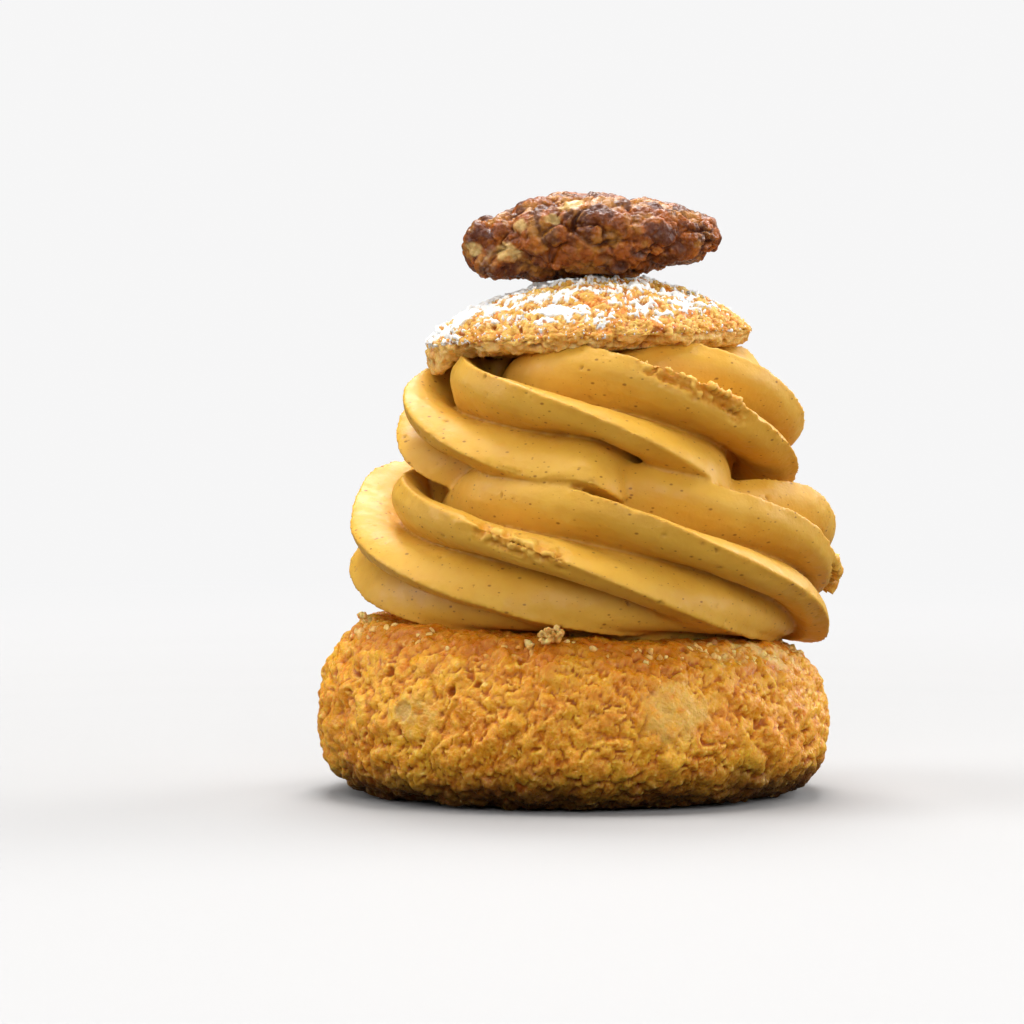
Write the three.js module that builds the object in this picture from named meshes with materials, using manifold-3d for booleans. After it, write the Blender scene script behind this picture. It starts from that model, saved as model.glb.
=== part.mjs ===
// Cream puff: a craquelin choux bun cut in two, with two tiers of piped
// cream between the halves and a candied nut half on the lid.
// Millimetres, +Z up. The origin is the centre of the base's flat underside.
// The front faces -Y. An azimuth of 0 points to the front and +90 to +X.

import * as THREE from 'three';
import { mergeVertices } from 'three/addons/utils/BufferGeometryUtils.js';
import Module from 'manifold-3d';

const wasm = await Module();
wasm.setup();

// ---------------------------------------------------------------- sizes

// Pieces that touch keep this gap.
const GAP = 0.3;
// Faces of the cream that are this close to one plane are merged.
const FLATNESS = 0.1;

// Lower half of the bun: a squat round body with a flat cut on top.
const BASE = {
  sides: 54,
  footRings: 6,
  // Rings crowd towards the foot, where the body turns under most.
  footCrowding: 1.6,
  shoulderRings: 8,
  bellyRadius: 32.1,
  bellyHeight: 8.5,
  footRadius: 19,
  cutRadius: 24,
  height: 20.1,
  // The cut rises by this much for each millimetre towards -X.
  cutSlope: 0.053,
  // Exponents of the round below the belly and of the shoulder above it.
  footRound: 2.4,
  shoulderRound: 2,
  unevenness: 0.012,
};

// Cream: a rope from a six-pointed nozzle, laid in two rising turns.
const ROPE = {
  ridges: 6,
  // Depth of a valley between two ridges, as a share of the rope's radius.
  valley: 0.26,
  // A ridge's underside is fuller than its upper side.
  underside: 3.4,
  upperSide: 1.5,
  // How much of a ridge's height is the sharp edge along its crest.
  crestEdge: 0.13,
  from: -230,
  to: 640,
  pieces: 6,
  ringsPerPiece: 13,
  // Places of the points from one ridge's crest to the next one's.
  across: [0, 0.2, 0.42, 0.5, 0.74],
};
const COURSE = {
  // Height of the rope's middle.
  height: [
    [-230, 26], [-180, 29], [-110, 30.5], [10, 30.8], [90, 28.8], [180, 35.3],
    [250, 43.2], [365, 45.5], [450, 45.2], [540, 49.3], [640, 53],
  ],
  // Distance of the rope's middle from the axis it winds around.
  turn: [
    [-230, 17], [-180, 19.5], [-110, 20.7], [90, 22.5], [180, 18.5],
    [250, 16.5], [370, 16.5], [450, 15.6], [540, 13.5], [640, 8],
  ],
  // Radius of the rope over its crests.
  girth: [
    [-230, 2.5], [-190, 8.5], [-110, 9.9], [90, 10], [180, 10.2], [270, 10.4],
    [370, 11], [450, 10.9], [540, 9.8], [640, 6],
  ],
  // How far the rope has turned about its own middle.
  twist: [
    [-240, -235], [-160, -120], [-116, -60], [-62, 0], [-9, 60], [35, 120],
    [99, 180], [232, 360], [311, 480], [368, 540], [414, 600], [640, 836],
  ],
  // Sideways place (X) of the axis it winds around.
  axis: [[-230, 2.1], [90, 2.1], [270, 2.9], [640, 2.9]],
};
// Where one ridge swells or leans: growth is a share of its length, and lean
// is how many degrees it droops.
const SWELLS = [
  { ridge: 2, azimuth: 105, spread: 35, growth: -0.07, lean: 40 },
  { ridge: 3, azimuth: 92, spread: 22, growth: -0.2, lean: 28 },
  { ridge: 4, azimuth: 88, spread: 24, growth: 0.18, lean: 10 },
  { ridge: 5, azimuth: 93, spread: 25, growth: 0.02, lean: -22 },
  { ridge: 0, azimuth: -112, spread: 16, growth: 0.3, lean: 0 },
  { ridge: 1, azimuth: -92, spread: 35, growth: 0, lean: -10 },
  { ridge: 5, azimuth: 268, spread: 35, growth: -0.14, lean: -17 },
  { ridge: 5, azimuth: 322, spread: 22, growth: -0.32, lean: 16 },
  { ridge: 4, azimuth: 359, spread: 14, growth: 0.2, lean: -21 },
  { ridge: 4, azimuth: 382, spread: 11, growth: -0.6, lean: 20 },
  { ridge: 3, azimuth: 398, spread: 9, growth: 0.05, lean: 0 },
  { ridge: 3, azimuth: 426, spread: 15, growth: -0.5, lean: 20 },
  { ridge: 4, azimuth: -42, spread: 16, growth: 0.09, lean: 0 },
  { ridge: 3, azimuth: 9, spread: 14, growth: 0.14, lean: 0 },
  { ridge: 2, azimuth: 78, spread: 15, growth: 0.14, lean: 0 },
  { ridge: 1, azimuth: 450, spread: 25, growth: -0.04, lean: 16 },
];
// The lower turn's valleys close where its underside is pressed on the cut:
// half width in degrees, how full they get, and the azimuth where it ends.
const PRESSED = { halfWidth: 38, share: 0.93, until: 170 };
const FILLING = {
  sides: 24,
  x: 2.5,
  radius: [[15, 19], [30, 21], [39, 17], [52, 12], [62, 6]],
};

// Upper half of the bun: a thin dome with a torn rim, tilted up to the right.
const LID = {
  sides: 50,
  domeRings: 7,
  unevenness: 0.02,
  x: 1.6,
  radius: 20.4,
  undersideHeight: 55.2,
  undersideSlope: 0.035,
  rimHeight: 57,
  rimSlope: 0.045,
  dome: 7.2,
  domeRound: 0.8,
  // The torn flap that hangs from the rim on the left.
  flapAzimuth: -80,
  flapWidth: 24,
  flapDrop: 3.4,
  // How much of the drop the rim takes on above the lip.
  flapRimShare: 0.6,
};

// Candied nut half, lying along X on the lid, with its blunt end to the left.
const NUT = {
  rings: 18,
  sides: 24,
  x: 2.3,
  halfLength: 16.4,
  halfDepth: 9.2,
  // Height of its back and of its underside, from its left end (0) to its tip.
  back: [
    [0, 68.4], [0.03, 70.6], [0.1, 71.7], [0.22, 73.4], [0.42, 75], [0.69, 74.1],
    [0.88, 72.6], [0.97, 71.3], [1, 69.5],
  ],
  underside: [
    [0, 67.3], [0.03, 65.4], [0.09, 64.3], [0.3, 64], [0.55, 64], [0.79, 65.4],
    [0.94, 66.5], [1, 68.2],
  ],
  // Exponent of the taper towards the ends, seen from above.
  planTaper: 0.55,
  // Shallow lumps: waves around the nut that shift along it.
  lumps: 0.04,
  wavesAround: 5,
  wavesAlong: 3,
};

const DEG = Math.PI / 180;

// ---------------------------------------------------------------- curves

// Smooth curve through [place, value] rows that never overshoots them.
function curve(rows) {
  const last = rows.length - 1;
  const step = rows.slice(1).map((row, i) => row[0] - rows[i][0]);
  const rise = step.map((h, i) => (rows[i + 1][1] - rows[i][1]) / h);
  const slope = rows.map((row, i) => {
    if (i === 0) return rise[0];
    if (i === last) return rise[last - 1];
    if (rise[i - 1] * rise[i] <= 0) return 0;
    const before = 2 * step[i] + step[i - 1];
    const after = step[i] + 2 * step[i - 1];
    return (before + after) / (before / rise[i - 1] + after / rise[i]);
  });
  return (place) => {
    const p = THREE.MathUtils.clamp(place, rows[0][0], rows[last][0]);
    let i = rows.findIndex((row) => row[0] > p) - 1;
    if (i < 0) i = last - 1;
    const h = step[i];
    const t = (p - rows[i][0]) / h;
    return (
      (1 + 2 * t) * (1 - t) ** 2 * rows[i][1] +
      t * (1 - t) ** 2 * h * slope[i] +
      t * t * (3 - 2 * t) * rows[i + 1][1] +
      t * t * (t - 1) * h * slope[i + 1]
    );
  };
}

// Gentle unevenness around an azimuth: a few waves, about -1 to 1.
function wobble(azimuth, phase) {
  const a = azimuth * DEG;
  return (
    0.5 * Math.sin(2 * a + phase) +
    0.3 * Math.sin(3 * a + 2.3 * phase + 1) +
    0.2 * Math.sin(7 * a + 3.7 * phase + 2)
  );
}

// Smooth bump of height 1 at 0 that reaches 0 at -1 and 1.
function bump(x) {
  return Math.abs(x) < 1 ? Math.cos((x * Math.PI) / 2) ** 2 : 0;
}

// ---------------------------------------------------------------- meshes

// Closed skin over a row of rings, each a list of points that turns the same
// way, with a fan of faces to the middle of the first and the last ring. Each
// four-sided face is split along its shorter diagonal.
function skin(rings) {
  const count = rings[0].length;
  const points = rings.flat();
  const faces = [];
  for (let i = 0; i < rings.length - 1; i += 1) {
    for (let j = 0; j < count; j += 1) {
      const a = i * count + j;
      const b = i * count + ((j + 1) % count);
      const c = b + count;
      const d = a + count;
      const fromA = points[a].distanceTo(points[c]);
      const fromB = points[b].distanceTo(points[d]);
      if (fromA < fromB) faces.push(a, b, c, a, c, d);
      else faces.push(a, b, d, b, c, d);
    }
  }
  [0, rings.length - 1].forEach((ring, end) => {
    const middle = points.length;
    const sum = rings[ring].reduce((s, p) => s.add(p), new THREE.Vector3());
    points.push(sum.divideScalar(count));
    for (let j = 0; j < count; j += 1) {
      const a = ring * count + j;
      const b = ring * count + ((j + 1) % count);
      if (end === 0) faces.push(middle, b, a);
      else faces.push(middle, a, b);
    }
  });
  const geometry = new THREE.BufferGeometry().setFromPoints(points);
  geometry.setIndex(faces);
  return geometry;
}

// Rings of a round piece: place(azimuth, row) gives a point for each row.
function roundRings(rows, sides, place) {
  return rows.map((row) =>
    Array.from({ length: sides }, (_, j) => place((j * 360) / sides, row)),
  );
}

// Point at a distance and azimuth around an upright axis at x.
function around(x, radius, azimuth, z) {
  const a = azimuth * DEG;
  return new THREE.Vector3(x + radius * Math.sin(a), -radius * Math.cos(a), z);
}

function toSolid(geometry) {
  const merged = mergeVertices(geometry, 1e-5);
  return new wasm.Manifold(
    new wasm.Mesh({
      numProp: 3,
      vertProperties: new Float32Array(merged.attributes.position.array),
      triVerts: new Uint32Array(merged.index.array),
    }),
  );
}

// The largest body of a solid, as a geometry.
function toGeometry(solid) {
  const bodies = solid.decompose().sort((a, b) => b.volume() - a.volume());
  const mesh = bodies[0].getMesh();
  const geometry = new THREE.BufferGeometry();
  const position = new THREE.BufferAttribute(mesh.vertProperties, mesh.numProp);
  geometry.setAttribute('position', position);
  geometry.setIndex(new THREE.BufferAttribute(mesh.triVerts, 1));
  return geometry;
}

// ---------------------------------------------------------------- base

// Height of the sloping cut above a place across the base.
function cutHeight(x) {
  return BASE.height - BASE.cutSlope * x;
}

// The body's outline, from the foot to the cut: radius and height.
function baseOutline() {
  const rows = [];
  const belly = BASE.bellyRadius;
  for (let i = 0; i <= BASE.footRings; i += 1) {
    const z = BASE.bellyHeight * (i / BASE.footRings) ** BASE.footCrowding;
    const down = 1 - z / BASE.bellyHeight;
    const share = (1 - down ** BASE.footRound) ** (1 / BASE.footRound);
    rows.push([BASE.footRadius + (belly - BASE.footRadius) * share, z]);
  }
  const rise = BASE.height - BASE.bellyHeight;
  for (let i = 1; i <= BASE.shoulderRings; i += 1) {
    const up = Math.sin((i / BASE.shoulderRings) * 90 * DEG);
    const share = (1 - up ** BASE.shoulderRound) ** (1 / BASE.shoulderRound);
    const radius = BASE.cutRadius + (belly - BASE.cutRadius) * share;
    rows.push([radius, BASE.bellyHeight + rise * up]);
  }
  return rows;
}

function basePoint(azimuth, [radius, z]) {
  const uneven = 1 + BASE.unevenness * wobble(azimuth, 1 + z / 40);
  const point = around(0, radius * uneven, azimuth, z);
  const above = Math.max(0, z - BASE.bellyHeight) / (BASE.height - BASE.bellyHeight);
  point.z += (cutHeight(point.x) - BASE.height) * above;
  return point;
}

function baseGeometry() {
  return skin(roundRings(baseOutline(), BASE.sides, basePoint));
}

// ---------------------------------------------------------------- cream

const course = Object.fromEntries(
  Object.entries(COURSE).map(([name, rows]) => [name, curve(rows)]),
);

// Radius of the rope's section as a share of its girth, at a place around it
// counted in ridges: crests are at whole numbers.
function ridgeShare(turn) {
  const place = Math.abs((2 * turn) % 2 - 1);
  const power = turn % 1 < 0.5 ? ROPE.underside : ROPE.upperSide;
  const full = 1 - (1 - place) ** power;
  const rise = full + ROPE.crestEdge * (place ** 5 - full);
  return ROPE.valley + (1 - ROPE.valley) * rise;
}

// How much a place around the rope swells and leans at an azimuth.
function ridgeSwell(azimuth, turn) {
  const half = ROPE.ridges / 2;
  let growth = 0;
  let lean = 0;
  SWELLS.forEach((swell) => {
    const from = turn - swell.ridge + half;
    const away = Math.abs(THREE.MathUtils.euclideanModulo(from, ROPE.ridges) - half);
    const along = Math.exp(-(((azimuth - swell.azimuth) / swell.spread) ** 2));
    const strength = along * (1 - THREE.MathUtils.smoothstep(away, 0, 1));
    growth += swell.growth * strength;
    lean += swell.lean * strength;
  });
  return { growth, lean };
}

function ropeRing(azimuth) {
  const steps = ROPE.across.length;
  return Array.from({ length: ROPE.ridges * steps }, (_, j) => {
    const turn = Math.floor(j / steps) + ROPE.across[j % steps];
    const { growth, lean } = ridgeSwell(azimuth, turn);
    const degrees = -((turn * 360) / ROPE.ridges + course.twist(azimuth) + lean);
    const fromBelow = THREE.MathUtils.euclideanModulo(degrees + 90 + 180, 360) - 180;
    const pressed = Math.exp(-((fromBelow / PRESSED.halfWidth) ** 2));
    const fill = azimuth < PRESSED.until ? pressed : 0;
    const open = ridgeShare(turn);
    const share = open + (Math.max(open, PRESSED.share) - open) * fill;
    const reach = course.girth(azimuth) * share * (1 + growth);
    const radius = course.turn(azimuth) + reach * Math.cos(degrees * DEG);
    const z = course.height(azimuth) + reach * Math.sin(degrees * DEG);
    return around(course.axis(azimuth), radius, azimuth, z);
  });
}

// One stretch of the rope. Stretches meet in a shared ring.
function ropePiece(index) {
  const all = ROPE.pieces * ROPE.ringsPerPiece;
  const first = index * ROPE.ringsPerPiece;
  const rings = [];
  for (let i = first; i <= first + ROPE.ringsPerPiece; i += 1) {
    rings.push(ropeRing(ROPE.from + ((ROPE.to - ROPE.from) * i) / all));
  }
  return skin(rings);
}

function fillingGeometry() {
  return skin(roundRings(FILLING.radius, FILLING.sides, (azimuth, [z, radius]) =>
    around(FILLING.x, radius, azimuth, z),
  ));
}

// Everything below the base's cut, with the gap.
function belowCut() {
  const reach = 2 * BASE.bellyRadius;
  return skin(roundRings(['floor', 'cut'], BASE.sides, (azimuth, row) => {
    const point = around(0, reach, azimuth, 0);
    if (row === 'cut') point.z = cutHeight(point.x) + GAP;
    return point;
  }));
}

function creamGeometry() {
  let solid = toSolid(fillingGeometry());
  for (let i = 0; i < ROPE.pieces; i += 1) solid = solid.add(toSolid(ropePiece(i)));
  solid = solid.subtract(toSolid(belowCut()));
  solid = solid.subtract(toSolid(lidGeometry(GAP)));
  return toGeometry(solid.simplify(FLATNESS));
}

// ---------------------------------------------------------------- lid

// Rows of the lid from the middle of its underside, over the rim, to the
// top: radius as a share of the whole, and which surface it is on.
function lidRows() {
  const rows = [
    { share: 0.4, face: 'under' },
    { share: 0.78, face: 'under' },
    { share: 0.93, face: 'lip' },
    { share: 1, face: 'rim' },
  ];
  for (let i = 1; i <= LID.domeRings; i += 1) {
    const rise = (i / (LID.domeRings + 0.5)) * 90 * DEG;
    rows.push({ share: Math.cos(rise), face: 'dome' });
  }
  return rows;
}

// How far the torn rim hangs down at an azimuth.
function flapDrop(azimuth) {
  const away = THREE.MathUtils.euclideanModulo(azimuth - LID.flapAzimuth + 180, 360) - 180;
  return LID.flapDrop * bump(away / LID.flapWidth);
}

// A grown lid is larger all round and reaches this much further up for each
// millimetre of growth, so that what it is cut out of keeps nothing above it.
const UPWARD_REACH = 40;

function lidGeometry(grow = 0) {
  return skin(roundRings(lidRows(), LID.sides, (azimuth, { share, face }) => {
    const uneven = 1 + LID.unevenness * wobble(azimuth, 4);
    const radius = (LID.radius * uneven + grow) * share;
    const point = around(LID.x, radius, azimuth, 0);
    const x = point.x - LID.x;
    const flap = flapDrop(azimuth);
    const under = LID.undersideHeight + LID.undersideSlope * x - grow;
    const rim = LID.rimHeight + LID.rimSlope * x;
    if (face === 'under') point.z = under;
    if (face === 'lip') point.z = under - flap;
    if (face === 'rim') point.z = (under + rim) / 2 - LID.flapRimShare * flap;
    if (face === 'dome') {
      const rise = (1 - share ** 2) ** LID.domeRound;
      point.z = rim + LID.dome * rise + UPWARD_REACH * grow;
    }
    return point;
  }));
}

// ---------------------------------------------------------------- nut

const nutBack = curve(NUT.back);
const nutUnderside = curve(NUT.underside);

// One upright ring of the nut, at a place from 0 to 1 along its length.
function nutRing(place) {
  const middle = (nutBack(place) + nutUnderside(place)) / 2;
  const half = (nutBack(place) - nutUnderside(place)) / 2;
  const depth = NUT.halfDepth * (4 * place * (1 - place)) ** NUT.planTaper;
  const x = NUT.x + NUT.halfLength * (2 * place - 1);
  return Array.from({ length: NUT.sides }, (_, j) => {
    const a = (j / NUT.sides) * 360 * DEG;
    const along = 2 * Math.PI * NUT.wavesAlong * place;
    const wave = Math.sin(NUT.wavesAround * a + along / 2) * Math.cos(along + 2 * a);
    const lumps = 1 + NUT.lumps * wave;
    const y = depth * Math.cos(a) * lumps;
    return new THREE.Vector3(x, y, middle + half * Math.sin(a) * lumps);
  });
}

function nutGeometry() {
  const rings = [];
  for (let i = 1; i <= NUT.rings; i += 1) {
    rings.push(nutRing(0.5 - 0.5 * Math.cos((i / (NUT.rings + 1)) * 180 * DEG)));
  }
  const lid = toSolid(lidGeometry()).translate([0, 0, GAP]);
  return toGeometry(toSolid(skin(rings)).subtract(lid));
}

// ---------------------------------------------------------------- object

function piece(name, geometry, color, roughness) {
  const material = new THREE.MeshStandardMaterial({ color, roughness, metalness: 0 });
  geometry.computeVertexNormals();
  const mesh = new THREE.Mesh(geometry, material);
  mesh.name = name;
  return mesh;
}

const creamPuff = new THREE.Group();
creamPuff.add(
  piece('choux_base', baseGeometry(), 0xc48436, 0.8),
  piece('cream_swirl', creamGeometry(), 0xcb9744, 0.5),
  piece('choux_lid', lidGeometry(), 0xcf9a55, 0.8),
  piece('candied_nut', nutGeometry(), 0x8a4f2c, 0.35),
);

export default creamPuff;
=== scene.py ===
"""Cream puff: the looks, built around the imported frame.

Shapes are worked out in millimetres in the frame's own axes (+Z up, front at
-Y) and written to Blender in metres. An azimuth is in degrees, 0 at the front
and +90 at +X.
"""

import math

import bpy
import numpy as np
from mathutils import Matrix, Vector
from mathutils.kdtree import KDTree


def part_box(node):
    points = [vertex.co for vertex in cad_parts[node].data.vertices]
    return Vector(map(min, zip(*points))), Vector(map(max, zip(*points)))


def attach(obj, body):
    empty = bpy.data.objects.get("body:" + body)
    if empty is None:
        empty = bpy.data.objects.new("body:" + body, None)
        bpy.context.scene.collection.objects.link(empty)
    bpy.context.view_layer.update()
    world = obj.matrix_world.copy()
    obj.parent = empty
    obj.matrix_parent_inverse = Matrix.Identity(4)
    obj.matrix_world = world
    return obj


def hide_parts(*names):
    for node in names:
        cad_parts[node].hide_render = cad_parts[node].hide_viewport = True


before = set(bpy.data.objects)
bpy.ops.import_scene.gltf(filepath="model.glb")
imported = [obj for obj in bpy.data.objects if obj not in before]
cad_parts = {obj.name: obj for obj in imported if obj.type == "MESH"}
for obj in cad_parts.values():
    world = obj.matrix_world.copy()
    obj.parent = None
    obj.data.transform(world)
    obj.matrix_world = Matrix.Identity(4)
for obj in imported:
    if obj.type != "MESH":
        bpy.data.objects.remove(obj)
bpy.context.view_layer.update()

MM = 0.001


def box_mm(node):
    """Lowest and highest corner of a CAD node, in millimetres."""
    low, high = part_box(node)
    return np.array(low) / MM, np.array(high) / MM


BASE_LOW, BASE_HIGH = box_mm("choux_base")
NUT_LOW, NUT_HIGH = box_mm("candied_nut")


# ---------------- numbers

def smooth(low, high, x):
    """0 below low, 1 above high, and a smooth rise between."""
    t = np.clip((x - low) / (high - low), 0, 1)
    return t * t * (3 - 2 * t)


def curve(place, rows):
    """Smooth curve through (place, value) rows that never overshoots them."""
    xs, ys = np.array(rows, float).T
    step = np.diff(xs)
    rise = np.diff(ys) / step
    slope = np.empty_like(ys)
    slope[0], slope[-1] = rise[0], rise[-1]
    for i in range(1, len(xs) - 1):
        if rise[i - 1] * rise[i] <= 0:
            slope[i] = 0
            continue
        before = 2 * step[i] + step[i - 1]
        after = step[i] + 2 * step[i - 1]
        slope[i] = (before + after) / (before / rise[i - 1] + after / rise[i])
    x = np.clip(np.asarray(place, float), xs[0], xs[-1])
    i = np.clip(np.searchsorted(xs, x, side="right") - 1, 0, len(xs) - 2)
    t = (x - xs[i]) / step[i]
    return (
        (1 + 2 * t) * (1 - t) ** 2 * ys[i]
        + t * (1 - t) ** 2 * step[i] * slope[i]
        + t * t * (3 - 2 * t) * ys[i + 1]
        + t * t * (t - 1) * step[i] * slope[i + 1]
    )


def lattice(i, j, k, seed):
    """A fixed random number from 0 to 1 for each whole-number place."""
    n = (i * 374761393 + j * 668265263 + k * 1274126177 + seed * 362437) & 0xFFFFFFFF
    n = ((n ^ (n >> 13)) * 1103515245) & 0xFFFFFFFF
    n = n ^ (n >> 16)
    n = (n * 69069 + 1234567) & 0xFFFFFFFF
    return ((n >> 8) & 0xFFFFFF) / 0xFFFFFF


def noise(points, size, seed):
    """Smooth noise from -1 to 1 with lumps about as large as size."""
    q = points / size + seed * 17.31
    cell = np.floor(q).astype(np.int64)
    f = q - cell
    f = f * f * f * (f * (f * 6 - 15) + 10)
    shares = np.stack([1 - f.T, f.T])
    total = np.zeros(len(points))
    for i, j, k in np.ndindex(2, 2, 2):
        weight = shares[i, 0] * shares[j, 1] * shares[k, 2]
        total += weight * lattice(cell[:, 0] + i, cell[:, 1] + j, cell[:, 2] + k, seed)
    return 2 * total - 1


TURN = np.array([[0.36, 0.48, -0.8], [-0.8, 0.6, 0.0], [0.48, 0.64, 0.6]])


def fbm(points, size, seed, octaves=3, gain=0.5):
    """Noise of several sizes, each half as large, from about -1 to 1."""
    total = np.zeros(len(points))
    strength, whole = 1.0, 0.0
    for octave in range(octaves):
        total += strength * noise(points, size, seed + octave)
        whole += strength
        strength *= gain
        size *= 0.5
        points = points @ TURN
    return total / whole * 1.4


def billow(points, size, seed):
    """Rounded lumps with creases between them, from 0 to about 1."""
    return 1.6 * np.abs(noise(points @ TURN, size, seed))


def drift(points, size, seed, step=1):
    """Noise in all three directions, each with a seed of its own."""
    return np.stack([fbm(points, size, seed + step * axis, 2) for axis in range(3)], 1)


def warped(points, amount, size, seed):
    """Points pushed about by noise, so that cells lose their round shape."""
    return points + amount * drift(points, size, seed, 31)


def cells(points, size, seed, least=0.45, most=0.85):
    """Random balls, one in each cell of that size.

    Returns the height of the balls' skin over their middles, a random number
    for the ball on top, and the distance to the nearest middle, in cells.
    """
    q = points / size
    home = np.floor(q).astype(np.int64)
    height = np.zeros(len(points))
    owner = np.zeros(len(points))
    nearest = np.full(len(points), 9.0)
    for step in np.ndindex(3, 3, 3):
        at = home + np.array(step) - 1
        x, y, z = at.T
        middle = np.stack([lattice(x, y, z, seed + s) for s in range(3)], 1)
        away = ((at + middle - q) ** 2).sum(1)
        radius = least + (most - least) * lattice(x, y, z, seed + 3)
        rise = np.sqrt(np.maximum(radius ** 2 - away, 0))
        higher = rise > height
        height = np.where(higher, rise, height)
        owner = np.where(higher, lattice(x, y, z, seed + 4), owner)
        nearest = np.minimum(nearest, away)
    return height * size, owner, np.sqrt(nearest)


# ---------------- meshes

def add_object(name, data):
    thing = bpy.data.objects.new(name, data)
    bpy.context.scene.collection.objects.link(thing)
    return thing


def make_object(name, points, faces, smooth_shaded=True):
    """A mesh object from points in millimetres."""
    mesh = bpy.data.meshes.new(name)
    mesh.from_pydata((np.asarray(points) * MM).tolist(), [], faces)
    mesh.update()
    if smooth_shaded:
        mesh.shade_smooth()
    return add_object(name, mesh)


def read_vectors(items, field):
    flat = np.empty(len(items) * 3, np.float32)
    items.foreach_get(field, flat)
    return flat.reshape(-1, 3).astype(float)


def get_points(piece):
    return read_vectors(piece.data.vertices, "co") / MM


def get_normals(piece):
    return read_vectors(piece.data.vertex_normals, "vector")


def set_points(piece, points):
    mesh = piece.data
    mesh.vertices.foreach_set("co", (points * MM).astype(np.float32).ravel())
    mesh.update()


def set_masks(piece, **masks):
    """Stores numbers for each vertex under these names, for the material to read."""
    for name, values in masks.items():
        layer = piece.data.attributes.new(name, "FLOAT", "POINT")
        layer.data.foreach_set("value", np.asarray(values, np.float32))


def spread_out(piece, values, rounds):
    """The values averaged with their neighbours' on the mesh, several times."""
    mesh = piece.data
    edges = np.empty(len(mesh.edges) * 2, np.int32)
    mesh.edges.foreach_get("vertices", edges)
    a, b = edges.reshape(-1, 2).T
    count = len(values)
    neighbours = np.bincount(a, minlength=count) + np.bincount(b, minlength=count)
    for _ in range(rounds):
        total = np.bincount(a, values[b], count) + np.bincount(b, values[a], count)
        values = 0.5 * values + 0.5 * total / np.maximum(neighbours, 1)
    return values


def evened(piece, points, rounds):
    """The points, each moved to the middle of its neighbours, several times."""
    return np.stack([spread_out(piece, axis, rounds) for axis in points.T], 1)


def hollows(piece, height, rounds, depth):
    """How far each point lies in a hollow: 0.5 on the level, 1 this deep."""
    return np.clip(0.5 + 0.5 * (spread_out(piece, height, rounds) - height) / depth, 0, 1)


def even_turn(count):
    """Azimuths evenly spaced around a full turn."""
    return np.arange(count) * 360 / count


def grid_faces(rows, columns):
    """Faces of rings of points; each ring closes on itself."""
    i, j = np.meshgrid(np.arange(rows - 1), np.arange(columns), indexing="ij")
    a = i * columns + j
    b = i * columns + (j + 1) % columns
    return np.stack([a, b, b + columns, a + columns], -1).reshape(-1, 4).tolist()


def cap_faces(ring_start, columns, middle, flip):
    """A fan of faces from a ring to its middle point."""
    a = [ring_start + j for j in range(columns)]
    b = a[1:] + a[:1]
    return [(middle, *pair) for pair in (zip(b, a) if flip else zip(a, b))]


def skin(rings):
    """Points and faces of a closed skin over rings of the same length."""
    rows, columns = rings.shape[:2]
    ends = [rings[0].mean(0), rings[-1].mean(0)]
    points = np.vstack([rings.reshape(-1, 3), ends])
    faces = grid_faces(rows, columns)
    faces += cap_faces(0, columns, rows * columns, True)
    faces += cap_faces((rows - 1) * columns, columns, rows * columns + 1, False)
    return points, faces


def join_parts(parts):
    """Several (points, faces) as one."""
    points, faces, offset = [], [], 0
    for part_points, part_faces in parts:
        points.append(part_points)
        faces += [tuple(i + offset for i in face) for face in part_faces]
        offset += len(part_points)
    return np.vstack(points), faces


def around(x, radius, azimuth, z):
    """Points at a distance and azimuth around an upright axis at x."""
    a = np.radians(azimuth)
    return np.stack([x + radius * np.sin(a), -radius * np.cos(a), z + 0 * a], -1)


def ball(middle, radius, rows=10, columns=16):
    """Points and faces of a small ball, to be worked into a lump."""
    up = np.linspace(0.2, math.pi - 0.2, rows)[:, None]
    a = np.radians(even_turn(columns))[None, :]
    rings = np.stack([np.sin(up) * np.cos(a), np.sin(up) * np.sin(a), -np.cos(up) + 0 * a], -1)
    return skin(radius * rings + middle)


def with_modifier(piece, kind, **settings):
    """Adds a modifier and applies it at once."""
    modifier = piece.modifiers.new(kind.lower(), kind)
    for name, value in settings.items():
        setattr(modifier, name, value)
    depsgraph = bpy.context.evaluated_depsgraph_get()
    done = bpy.data.meshes.new_from_object(piece.evaluated_get(depsgraph))
    done.shade_smooth()
    piece.modifiers.clear()
    old = piece.data
    piece.data = done
    bpy.data.meshes.remove(old)


def dress(piece, node, material):
    """Puts a finished piece on the frame."""
    piece.data.materials.clear()
    piece.data.materials.append(material)
    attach(piece, "root")
    if node:
        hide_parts(node)


# ---------------- materials

def srgb(red, green, blue):
    """A colour given from 0 to 255, as the linear numbers that Blender uses."""
    def linear(value):
        value /= 255
        return value / 12.92 if value <= 0.04045 else ((value + 0.055) / 1.055) ** 2.4
    return (linear(red), linear(green), linear(blue), 1)


# Specks are this many times as wide as they are high.
SPECK_FLATNESS = 1.7


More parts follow.
